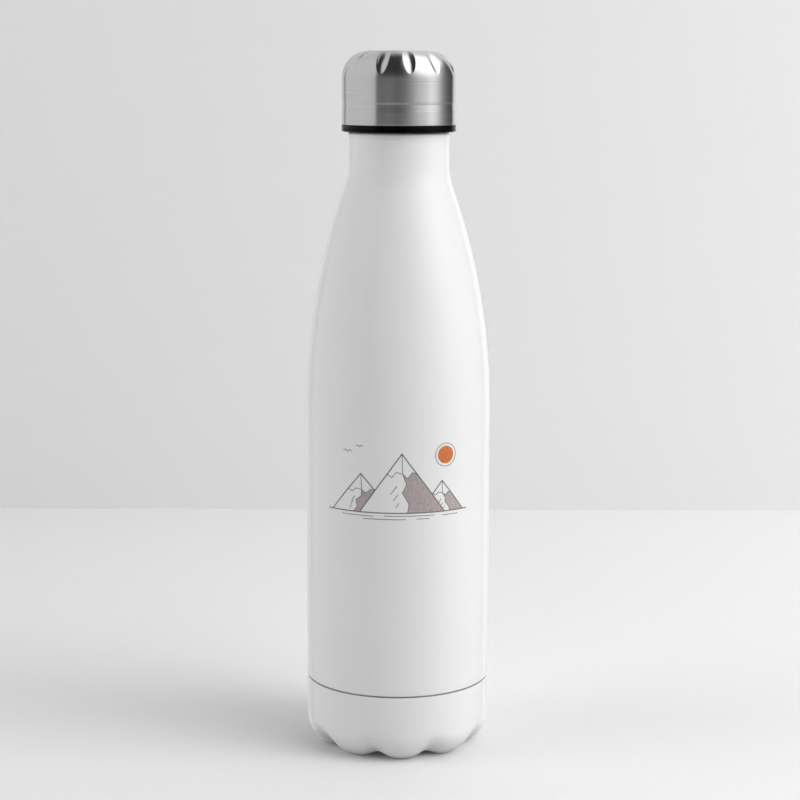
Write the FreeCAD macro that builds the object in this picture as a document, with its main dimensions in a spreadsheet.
"""Double-wall vacuum bottle, 500 ml, with a petal base and a screw lid.

Millimetres, +Z up. The origin is the centre of the circle that the petals stand on, and the
bottle's front faces -Y. Turned pieces are sketched as half sections and revolved about Z.
"""
import FreeCAD, Part
import math
import os
import Sketcher

SIZES = {
    # heights above the floor
    "overall_height": 265.0,
    "barrel_top": 130.0,
    "neck_bottom": 223.0,
    "collar_bottom": 231.0,
    "mouth_top": 235.0,
    "flange_bottom": 235.1,
    "flange_top": 237.7,
    "cap_step": 245.3,
    "seam_height": 26.3,
    # outer wall
    "wall_radius": 35.0,
    "neck_radius": 18.9,
    "throat_curve": 26.0,
    "collar_proud": 0.15,
    "shell_gauge": 0.5,
    "rim_radius": 17.4,
    "rim_curl": 1.0,
    # liner
    "liner_radius": 31.8,
    "liner_neck_radius": 16.5,
    "liner_gauge": 0.4,
    "liner_barrel_top": 126.0,
    "liner_neck_bottom": 217.0,
    "liner_throat_curve": 22.0,
    "liner_bottom": 19.0,
    "liner_weld": 27.0,
    "liner_corner": 5.0,
    "foil_bottom": 30.0,
    "foil_gauge": 0.15,
    # screw thread, one start
    "thread_lead": 5.0,
    "thread_root_half": 0.9,
    "thread_crest_half": 0.45,
    "liner_thread_crest": 14.9,
    "liner_thread_bottom": 219.0,
    "liner_thread_height": 8.5,
    "plug_thread_crest": 15.65,
    "plug_thread_bottom": 211.5,
    "plug_thread_height": 15.0,
    # base cup and what it hides
    "bond_half": 0.3,
    "bond_inset": 0.2,
    "spigot_radius": 33.3,
    "spigot_bottom": 14.0,
    "cup_play": 0.15,
    "cup_corner_top": 10.5,
    "cup_corner_curve": 10.9,
    "foot_outer": 27.0,
    "foot_inner": 25.5,
    "recess_radius": 20.0,
    "recess_height": 3.4,
    "cup_floor_inner": 7.5,
    "cup_floor_edge": 8.5,
    "cup_floor_radius": 26.0,
    "cup_wall_bottom": 13.4,
    "petal_count": 9,
    "petal_turn": 13.7,
    "valley_start": 22.0,
    "valley_end": 38.0,
    "valley_start_apex": -1.0,
    "valley_end_apex": 11.0,
    "valley_base": -3.0,
    "valley_start_half": 2.4,
    "valley_end_half": 9.8,
    "dish_flange": 4.0,
    "port_radius": 1.2,
    "dimple_radius": 9.0,
    "dimple_depth": 2.0,
    "bead_radius": 3.2,
    "bead_drop": 1.2,
    "getter_offset": 18.0,
    "clip_length": 18.0,
    "clip_width": 9.0,
    "clip_gauge": 0.4,
    "pellet_radius": 3.9,
    "pellet_height": 1.6,
    # lid
    "cap_radius": 21.35,
    "cap_gauge": 0.5,
    "cap_step_rise": 0.9,
    "cap_step_run": 2.7,
    "cap_groove": 0.12,
    "dome_curve": 10.2,
    "crown_rise": 0.1,
    "flute_count": 12,
    "flute_turn": 11.7,
    "flute_centre_radius": 4.8,
    "flute_centre_height": 248.8,
    "flute_bend": 22.2,
    "flute_round": 4.0,
    "flute_tilt": 43.0,
    "flute_reach": 60.0,
    "insert_radius": 20.8,
    "insert_wall": 2.0,
    "insert_shoulder": 253.5,
    "insert_top_radius": 13.0,
    "insert_top": 262.5,
    "pad_radius": 11.0,
    "flange_radius": 21.4,
    "flange_round": 0.5,
    "flange_line": 236.0,
    "line_depth": 0.25,
    "line_half": 0.15,
    "seat_radius": 19.6,
    "seat_depth": 1.0,
    "plug_radius": 14.4,
    "plug_bore": 12.6,
    "plug_bottom": 209.5,
    "boss_radius": 18.7,
    "boss_bore": 17.2,
    "boss_top": 243.0,
    "foam_play": 0.1,
    "foam_bottom": 211.5,
    "foam_head_radius": 17.0,
    "foam_top": 253.0,
    "end_cap_thickness": 1.0,
    # gasket
    "gasket_inner": 14.7,
    "gasket_outer": 15.7,
    "gasket_lip": 18.9,
    "gasket_bottom": 231.0,
    "gasket_gap": 0.3,
}

doc = FreeCAD.newDocument("vacuum_bottle")
sheet = doc.addObject("Spreadsheet::Sheet", "Sizes")
for row, (alias, number) in enumerate(SIZES.items(), start=1):
    sheet.set(f"A{row}", alias)
    sheet.set(f"B{row}", str(number))
    sheet.setAlias(f"B{row}", alias)
doc.recompute()


class Size:
    """A number together with the sheet formula that it comes from."""

    def __init__(self, number, formula):
        self.number = number
        self.formula = formula

    def __add__(self, other):
        other = as_size(other)
        return Size(self.number + other.number, f"({self.formula} + {other.formula})")

    def __sub__(self, other):
        other = as_size(other)
        return Size(self.number - other.number, f"({self.formula} - {other.formula})")

    def __mul__(self, other):
        other = as_size(other)
        return Size(self.number * other.number, f"({self.formula} * {other.formula})")

    def __truediv__(self, other):
        other = as_size(other)
        return Size(self.number / other.number, f"({self.formula} / {other.formula})")


def as_size(item):
    return item if isinstance(item, Size) else Size(float(item), str(item))


def size(alias):
    return Size(float(sheet.get(alias)), f"Sizes.{alias}")


AXIS = as_size(0)
FLOOR = as_size(0)
Z_UP = FreeCAD.Vector(0, 0, 1)


# ---------------------------------------------------------------- sketch and feature helpers

def new_body(label):
    body = doc.addObject("PartDesign::Body", label)
    body.Label = label
    return body


def origin_plane(body, role):
    return next(item for item in body.Origin.OriginFeatures if item.Role == role)


def arc_between(start, end, radius, side):
    """The short arc between two points; side +1 has its centre left of the chord, -1 right."""
    chord = end.sub(start)
    half = chord.Length / 2
    reach = math.sqrt(max(radius * radius - half * half, 0.0))
    left = FreeCAD.Vector(-chord.y, chord.x, 0).normalize()
    centre = start.add(chord * 0.5).add(left * (reach * side))
    first = math.atan2(start.y - centre.y, start.x - centre.x)
    last = math.atan2(end.y - centre.y, end.x - centre.x)
    if side < 0:
        first, last = last, first
    circle = Part.Circle(centre, Z_UP, radius)
    return Part.ArcOfCircle(circle, first, last)


def pin_point(sketch, geometry, end, point):
    """Fixes one end of an edge at its two sizes, or on a sketch axis where a size is zero."""
    for kind, axis, coordinate in (("DistanceX", -2, point[0]), ("DistanceY", -1, point[1])):
        if abs(coordinate.number) < 1e-9:
            sketch.addConstraint(Sketcher.Constraint("PointOnObject", geometry, end, axis))
            continue
        rule = Sketcher.Constraint(kind, -1, 1, geometry, end, coordinate.number)
        index = sketch.addConstraint(rule)
        sketch.setExpression(f"Constraints[{index}]", coordinate.formula)


def closed_profile(sketch, points):
    """Draws a closed outline. A point is (x, y), or (x, y, radius, side) to arrive by an arc."""
    places = [FreeCAD.Vector(p[0].number, p[1].number, 0) for p in points]
    ends = []
    for index, point in enumerate(points):
        start, end = places[index - 1], places[index]
        if len(point) == 2:
            edge = sketch.addGeometry(Part.LineSegment(start, end), False)
            first, last = 1, 2
        else:
            arc = arc_between(start, end, point[2].number, point[3])
            edge = sketch.addGeometry(arc, False)
            rule = Sketcher.Constraint("Radius", edge, point[2].number)
            sketch.setExpression(f"Constraints[{sketch.addConstraint(rule)}]", point[2].formula)
            first, last = (1, 2) if point[3] > 0 else (2, 1)
        pin_point(sketch, edge, last, point)
        ends.append((edge, first, last))
    for index, (edge, first, last) in enumerate(ends):
        before, _, before_last = ends[index - 1]
        sketch.addConstraint(Sketcher.Constraint("Coincident", before, before_last, edge, first))


def add_sketch(body, name, role, points, lift=None):
    sketch = body.newObject("Sketcher::SketchObject", name)
    sketch.AttachmentSupport = [(origin_plane(body, role), "")]
    sketch.MapMode = "FlatFace"
    if lift is not None:
        raised = FreeCAD.Vector(0, 0, lift.number)
        sketch.AttachmentOffset = FreeCAD.Placement(raised, FreeCAD.Rotation())
        sketch.setExpression("AttachmentOffset.Base.z", lift.formula)
    closed_profile(sketch, points)
    return sketch


def turned_body(label, points):
    """A body of revolution about Z from its half section, given as (radius, height) points."""
    body = new_body(label)
    sketch = add_sketch(body, f"{label}_section", "XZ_Plane", points)
    turning = body.newObject("PartDesign::Revolution", f"{label}_turning")
    turning.Profile = sketch
    turning.ReferenceAxis = (sketch, ["V_Axis"])
    turning.Angle = 360
    body.Tip = turning
    doc.recompute()
    return body


def polar_pattern(body, feature, count_alias):
    pattern = body.newObject("PartDesign::PolarPattern", f"{feature.Name}_ring")
    pattern.Originals = [feature]
    pattern.Axis = (origin_axis(body), [""])
    pattern.Angle = 360
    pattern.setExpression("Occurrences", f"Sizes.{count_alias}")
    body.Tip = pattern
    doc.recompute()
    return pattern


def origin_axis(body):
    return next(item for item in body.Origin.OriginFeatures if item.Role == "Z_Axis")


def turn_about_z(item, alias):
    item.Placement = FreeCAD.Placement(FreeCAD.Vector(), FreeCAD.Rotation(Z_UP, 1))
    item.setExpression("Placement.Rotation.Angle", f"Sizes.{alias} * 1 deg")


def add_thread(body, name, root, crest, bottom, height):
    """Adds a helical ridge whose flanks narrow from root to crest."""
    root_half = size("thread_root_half")
    crest_half = size("thread_crest_half")
    ridge = [
        (root, bottom - root_half),
        (crest, bottom - crest_half),
        (crest, bottom + crest_half),
        (root, bottom + root_half),
    ]
    sketch = add_sketch(body, f"{name}_ridge", "XZ_Plane", ridge)
    helix = body.newObject("PartDesign::AdditiveHelix", name)
    helix.Profile = sketch
    helix.ReferenceAxis = (sketch, ["V_Axis"])
    helix.Mode = "pitch-height-angle"
    helix.setExpression("Pitch", "Sizes.thread_lead")
    helix.setExpression("Height", height.formula)
    body.Tip = helix
    doc.recompute()
    return helix


def ogee(radius, low, neck, high, throat, inset):
    """The S-shaped shoulder, inset from the outer faces: its foot, turning point and top.

    Two arcs that end upright and meet in line, so they meet on the chord between their ends.
    """
    drop = radius - neck
    rise = high - low
    both = (rise * rise + drop * drop) / (drop * 2)
    big = both - throat - inset
    share = big / both
    foot = (radius - inset, low)
    turning = (radius - inset - drop * share, low + rise * share, big, 1)
    top = (neck - inset, high, throat + inset, -1)
    return foot, turning, top


def reversed_ogee(points):
    """The same shoulder, drawn from its top down to its foot."""
    foot, turning, top = points
    return (top[0], top[1]), (turning[0], turning[1], top[2], 1), (foot[0], foot[1], turning[2], -1)


# ---------------------------------------------------------------- bottle body

def outer_shell():
    gauge = size("shell_gauge")
    seam_top = size("seam_height") + size("bond_half")
    spigot = size("spigot_radius")
    collar = size("neck_radius") + size("collar_proud")
    mouth = size("mouth_top")
    curl = size("rim_curl")
    shoulder = (size("wall_radius"), size("barrel_top"), size("neck_radius"),
                size("neck_bottom"), size("throat_curve"))
    outside = ogee(*shoulder, AXIS)
    inside = reversed_ogee(ogee(*shoulder, gauge))
    bore = size("neck_radius") - gauge
    points = [
        (spigot, size("spigot_bottom")),
        (spigot, seam_top),
        (size("wall_radius"), seam_top),
        *outside,
        (size("neck_radius"), size("collar_bottom")),
        (collar, size("collar_bottom") + 0.3),
        (collar, mouth - curl),
        (collar - curl, mouth, curl, 1),
        (size("rim_radius"), mouth),
        (size("rim_radius"), mouth - gauge),
        (bore - 0.4, mouth - gauge),
        (bore, mouth - gauge - 0.4),
        *inside,
        (size("wall_radius") - gauge, seam_top + gauge),
        (spigot - gauge, seam_top + gauge),
        (spigot - gauge, size("spigot_bottom")),
    ]
    return turned_body("outer_shell", points)


def base_cup():
    """A moulded cup whose rounded corner is cut by V-shaped valleys, which leave the petals."""
    rim = size("seam_height") - size("bond_half")
    inner = size("spigot_radius") + size("cup_play")
    points = [
        (inner, rim),
        (inner, size("cup_wall_bottom")),
        (size("cup_floor_radius"), size("cup_floor_edge")),
        (AXIS, size("cup_floor_inner")),
        (AXIS, size("recess_height")),
        (size("recess_radius"), size("recess_height")),
        (size("foot_inner"), FLOOR),
        (size("foot_outer"), FLOOR),
        (size("wall_radius"), size("cup_corner_top"), size("cup_corner_curve"), 1),
        (size("wall_radius"), rim),
    ]
    body = turned_body("base_cup", points)
    valley_sketches = []
    for end in ("start", "end"):
        half = size(f"valley_{end}_half")
        base = size("valley_base")
        triangle = [(AXIS - half, base), (half, base), (AXIS, size(f"valley_{end}_apex"))]
        name = f"valley_{end}_sketch"
        valley_sketches.append(add_sketch(body, name, "YZ_Plane", triangle, size(f"valley_{end}")))
    valley = body.newObject("PartDesign::SubtractiveLoft", "valley")
    valley.Profile = valley_sketches[0]
    valley.Sections = [valley_sketches[1]]
    body.Tip = valley
    doc.recompute()
    polar_pattern(body, valley, "petal_count")
    turn_about_z(body, "petal_turn")
    return body


def base_bond_ring():
    seam = size("seam_height")
    half = size("bond_half")
    outer = size("wall_radius") - size("bond_inset")
    inner = size("spigot_radius")
    points = [(inner, seam - half), (outer, seam - half), (outer, seam + half), (inner, seam + half)]
    return turned_body("base_bond_ring", points)


def outer_bottom():
    """A dish with an upright flange and, at its centre, a raised dimple round the port."""
    gauge = size("shell_gauge")
    floor = size("spigot_bottom")
    rim = size("spigot_radius") - gauge
    flange_top = floor + size("dish_flange")
    dimple = floor + size("dimple_depth")
    slope = size("dimple_depth")
    points = [
        (size("port_radius"), dimple),
        (size("dimple_radius") - slope, dimple),
        (size("dimple_radius"), floor),
        (rim, floor),
        (rim, flange_top),
        (rim - gauge, flange_top),
        (rim - gauge, floor + gauge),
        (size("dimple_radius") - 0.3, floor + gauge),
        (size("dimple_radius") - slope - 0.3, dimple + gauge),
        (size("port_radius"), dimple + gauge),
    ]
    return turned_body("outer_bottom", points)


def vacuum_seal_bead():
    """Solder glass that fills the port and spreads as a shallow drop under it."""
    dimple = size("spigot_bottom") + size("dimple_depth")
    spread = size("bead_radius")
    drop = size("bead_drop")
    curve = (spread * spread + drop * drop) / (drop * 2)
    points = [
        (AXIS, dimple - drop),
        (spread, dimple, curve, 1),
        (size("port_radius"), dimple),
        (size("port_radius"), dimple + size("shell_gauge")),
        (AXIS, dimple + size("shell_gauge")),
    ]
    return turned_body("vacuum_seal_bead", points)


def getter_holder():
    """A flat steel clip with a round window that grips the pellet."""
    body = new_body("getter_holder")
    level = size("spigot_bottom") + size("shell_gauge")
    half_length = size("clip_length") / 2
    half_width = size("clip_width") / 2
    centre = size("getter_offset")
    outline = [
        (centre - half_width, AXIS - half_length),
        (centre + half_width, AXIS - half_length),
        (centre + half_width, half_length),
        (centre - half_width, half_length),
    ]
    sketch = add_sketch(body, "clip_outline", "XY_Plane", outline, level)
    strip = body.newObject("PartDesign::Pad", "clip_strip")
    strip.Profile = sketch
    strip.setExpression("Length", "Sizes.clip_gauge")
    body.Tip = strip
    doc.recompute()
    window = body.newObject("Sketcher::SketchObject", "clip_window")
    window.AttachmentSupport = [(origin_plane(body, "XY_Plane"), "")]
    window.MapMode = "FlatFace"
    middle = FreeCAD.Vector(centre.number, 0, 0)
    circle = Part.Circle(middle, Z_UP, size("pellet_radius").number)
    edge = window.addGeometry(circle, False)
    pin_point(window, edge, 3, (centre, AXIS))
    rule = Sketcher.Constraint("Radius", edge, size("pellet_radius").number)
    window.setExpression(f"Constraints[{window.addConstraint(rule)}]", "Sizes.pellet_radius")
    cut = body.newObject("PartDesign::Pocket", "clip_hole")
    cut.Profile = window
    cut.Type = "ThroughAll"
    cut.Midplane = True
    body.Tip = cut
    doc.recompute()
    return body


def getter_pellet():
    level = size("spigot_bottom") + size("shell_gauge")
    pellet = doc.addObject("Part::Cylinder", "getter_pellet")
    pellet.Label = "getter_pellet"
    pellet.setExpression("Radius", "Sizes.pellet_radius")
    pellet.setExpression("Height", "Sizes.pellet_height")
    pellet.setExpression("Placement.Base.x", "Sizes.getter_offset")
    pellet.setExpression("Placement.Base.z", level.formula)
    return pellet


def copper_layer():
    inner = size("liner_radius")
    outer = inner + size("foil_gauge")
    low = size("foil_bottom")
    high = size("liner_barrel_top")
    return turned_body("copper_layer", [(inner, low), (outer, low), (outer, high), (inner, high)])


def inner_flask():
    """The liner: barrel, shoulder, threaded neck and a mouth flared out to meet the shell."""
    gauge = size("liner_gauge")
    mouth = size("mouth_top")
    neck = size("liner_neck_radius")
    flare = size("rim_radius") - neck
    mouth_inside = mouth - size("shell_gauge")
    shoulder = (size("liner_radius"), size("liner_barrel_top"), neck,
                size("liner_neck_bottom"), size("liner_throat_curve"))
    outside = ogee(*shoulder, AXIS)
    inside = reversed_ogee(ogee(*shoulder, gauge))
    points = [
        (size("liner_radius"), size("liner_weld")),
        *outside,
        (neck, mouth_inside - flare),
        (size("rim_radius"), mouth_inside, flare, -1),
        (size("rim_radius"), mouth),
        (neck - gauge, mouth - size("rim_curl"), flare + gauge, 1),
        *inside,
        (size("liner_radius") - gauge, size("liner_weld")),
    ]
    body = turned_body("inner_flask", points)
    add_thread(body, "liner_thread", neck - gauge * 0.5, size("liner_thread_crest"),
               size("liner_thread_bottom"), size("liner_thread_height"))
    return body


def inner_bottom():
    gauge = size("liner_gauge")
    corner = size("liner_corner")
    radius = size("liner_radius")
    floor = size("liner_bottom")
    points = [
        (AXIS, floor),
        (radius - corner, floor),
        (radius, floor + corner, corner, 1),
        (radius, size("liner_weld")),
        (radius - gauge, size("liner_weld")),
        (radius - gauge, floor + corner),
        (radius - corner, floor + gauge, corner - gauge, -1),
        (AXIS, floor + gauge),
    ]
    return turned_body("inner_bottom", points)


# ---------------------------------------------------------------- lid and gasket

def lid_gasket():
    """A silicone ring: a sleeve round the plug and a lip between the mouth and the lid's seat."""
    lip_bottom = size("mouth_top") + size("gasket_gap")
    lip_top = size("flange_bottom") + size("seat_depth") - size("gasket_gap")
    points = [
        (size("gasket_inner"), size("gasket_bottom")),
        (size("gasket_outer"), size("gasket_bottom")),
        (size("gasket_outer"), lip_bottom),
        (size("gasket_lip"), lip_bottom),
        (size("gasket_lip"), lip_top),
        (size("gasket_inner"), lip_top),
    ]
    return turned_body("lid_gasket", points)


def dome_form(label, inset, groove):
    """The solid form of the cap's outer face, or of its inner face when inset by the gauge."""
    barrel = size("cap_radius") - inset
    curve = size("dome_curve") - inset
    crown_edge = size("overall_height") - size("crown_rise") - inset
    flat = size("cap_radius") - size("dome_curve")
    points = [
        (AXIS, size("flange_top")),
        (barrel, size("flange_top")),
        *groove,
        (barrel, crown_edge - curve),
        (flat, crown_edge, curve, 1),
        (AXIS, size("overall_height") - inset),
    ]
    body = turned_body(label, points)
    before = body.Shape.Volume
    dent = body.newObject("PartDesign::SubtractiveTorus", f"{label}_flute")
    dent.setExpression("Radius1", "Sizes.flute_bend")
    dent.setExpression("Radius2", (size("flute_round") + inset).formula)
    dent.setExpression("Angle3", "Sizes.flute_reach * 2 deg")
    dent.AttachmentSupport = [(origin_plane(body, "XZ_Plane"), "")]
    dent.MapMode = "ObjectXY"
    dent.AttachmentOffset = FreeCAD.Placement(FreeCAD.Vector(), FreeCAD.Rotation(Z_UP, 1))
    dent.setExpression("AttachmentOffset.Base.x", "Sizes.flute_centre_radius")
    dent.setExpression("AttachmentOffset.Base.y", "Sizes.flute_centre_height")
    dent.setExpression("AttachmentOffset.Rotation.Angle",
                       "(Sizes.flute_tilt - Sizes.flute_reach) * 1 deg")
    body.Tip = dent
    doc.recompute()
    pattern = polar_pattern(body, dent, "flute_count")
    if not pattern.Shape.Volume < before:
        raise RuntimeError(f"{label}: the flutes cut nothing")
    return body


def cap_shell():
    """A drawn steel cover with a groove rolled into its outer face, above the skirt. Its
    flutes are pressed in, so its inner face follows them."""
    wall = size("cap_radius")
    step = size("cap_step")
    groove = [
        (wall, step - size("cap_step_run")),
        (wall - size("cap_groove"), step),
        (wall, step + size("cap_step_rise")),
    ]
    outer = dome_form("cap_outer_form", AXIS, groove)
    inner = dome_form("cap_inner_form", size("cap_gauge"), [])
    shell = doc.addObject("Part::Cut", "cap_shell")
    shell.Label = "cap_shell"
    shell.Base = outer
    shell.Tool = inner
    turn_about_z(shell, "flute_turn")
    return shell


def cap_insert():
    wall = size("insert_wall")
    radius = size("insert_radius")
    points = [
        (radius - wall, size("flange_top")),
        (radius, size("flange_top")),
        (radius, size("insert_shoulder")),
        (size("insert_top_radius"), size("insert_top")),
        (AXIS, size("insert_top")),
        (AXIS, size("insert_top") - wall),
        (size("insert_top_radius") - wall * 0.5, size("insert_top") - wall),
        (radius - wall, size("insert_shoulder") - wall * 0.5),
    ]
    return turned_body("cap_insert", points)


def cap_bond_pad():
    low = size("insert_top")
    high = size("overall_height") - size("crown_rise") - size("cap_gauge")
    radius = size("pad_radius")
    return turned_body("cap_bond_pad", [(AXIS, low), (radius, low), (radius, high), (AXIS, high)])


def stopper_body():
    """The black flange with the seat that takes the mouth, the threaded plug and a snap boss."""
    flange = size("flange_radius")
    low = size("flange_bottom")
    high = size("flange_top")
    line = size("flange_line")
    half = size("line_half")
    rounding = size("flange_round")
    points = [
        (size("plug_bore"), size("plug_bottom")),
        (size("plug_radius"), size("plug_bottom")),
        (size("plug_radius"), low + size("seat_depth")),
        (size("seat_radius"), low + size("seat_depth")),
        (size("seat_radius"), low),
        (flange - rounding, low),
        (flange, low + rounding, rounding, 1),
        (flange, line - half),
        (flange - size("line_depth"), line),
        (flange, line + half),
        (flange, high),
        (size("boss_radius"), high),
        (size("boss_radius"), size("boss_top")),
        (size("boss_bore"), size("boss_top")),
        (size("boss_bore"), high),
        (size("plug_bore"), high),
    ]
    body = turned_body("stopper_body", points)
    root = size("plug_radius") - size("thread_crest_half")
    add_thread(body, "plug_thread", root, size("plug_thread_crest"),
               size("plug_thread_bottom"), size("plug_thread_height"))
    return body


def stopper_foam():
    stem = size("plug_bore") - size("foam_play")
    head = size("foam_head_radius")
    ledge = size("flange_top")
    points = [
        (AXIS, size("foam_bottom")),
        (stem, size("foam_bottom")),
        (stem, ledge),
        (head, ledge),
        (head, size("foam_top")),
        (AXIS, size("foam_top")),
    ]
    return turned_body("stopper_foam", points)


def stopper_end_cap():
    bottom = size("plug_bottom")
    stem = size("plug_bore")
    points = [
        (AXIS, bottom - size("end_cap_thickness")),
        (size("plug_radius"), bottom - size("end_cap_thickness")),
        (size("plug_radius"), bottom),
        (stem, bottom),
        (stem, size("foam_bottom")),
        (AXIS, size("foam_bottom")),
    ]
    return turned_body("stopper_end_cap", points)


# ---------------------------------------------------------------- check and export

def check_document():
    for item in doc.Objects:
        if "Invalid" in item.State or "Error" in item.State:
            raise RuntimeError(f"{item.Label} failed: {item.State}")


def export(piece):
    shape = piece.Shape
    if shape.isNull() or not shape.isValid() or not shape.Solids:
        raise RuntimeError(f"{piece.Label} has no valid solid")
    shape.exportStep(os.path.join("parts", f"{piece.Label}.step"))
    print(f"{piece.Label}: {len(shape.Solids)} solid, {shape.Volume / 1000:.3f} cm3")


pieces = [
    outer_shell(), base_cup(), base_bond_ring(), outer_bottom(), vacuum_seal_bead(),
    getter_holder(), getter_pellet(), copper_layer(), inner_flask(), inner_bottom(),
    lid_gasket(), cap_shell(), cap_insert(), cap_bond_pad(), stopper_body(),
    stopper_foam(), stopper_end_cap(),
]
doc.recompute()
check_document()
os.makedirs("parts", exist_ok=True)
for piece in pieces:
    export(piece)
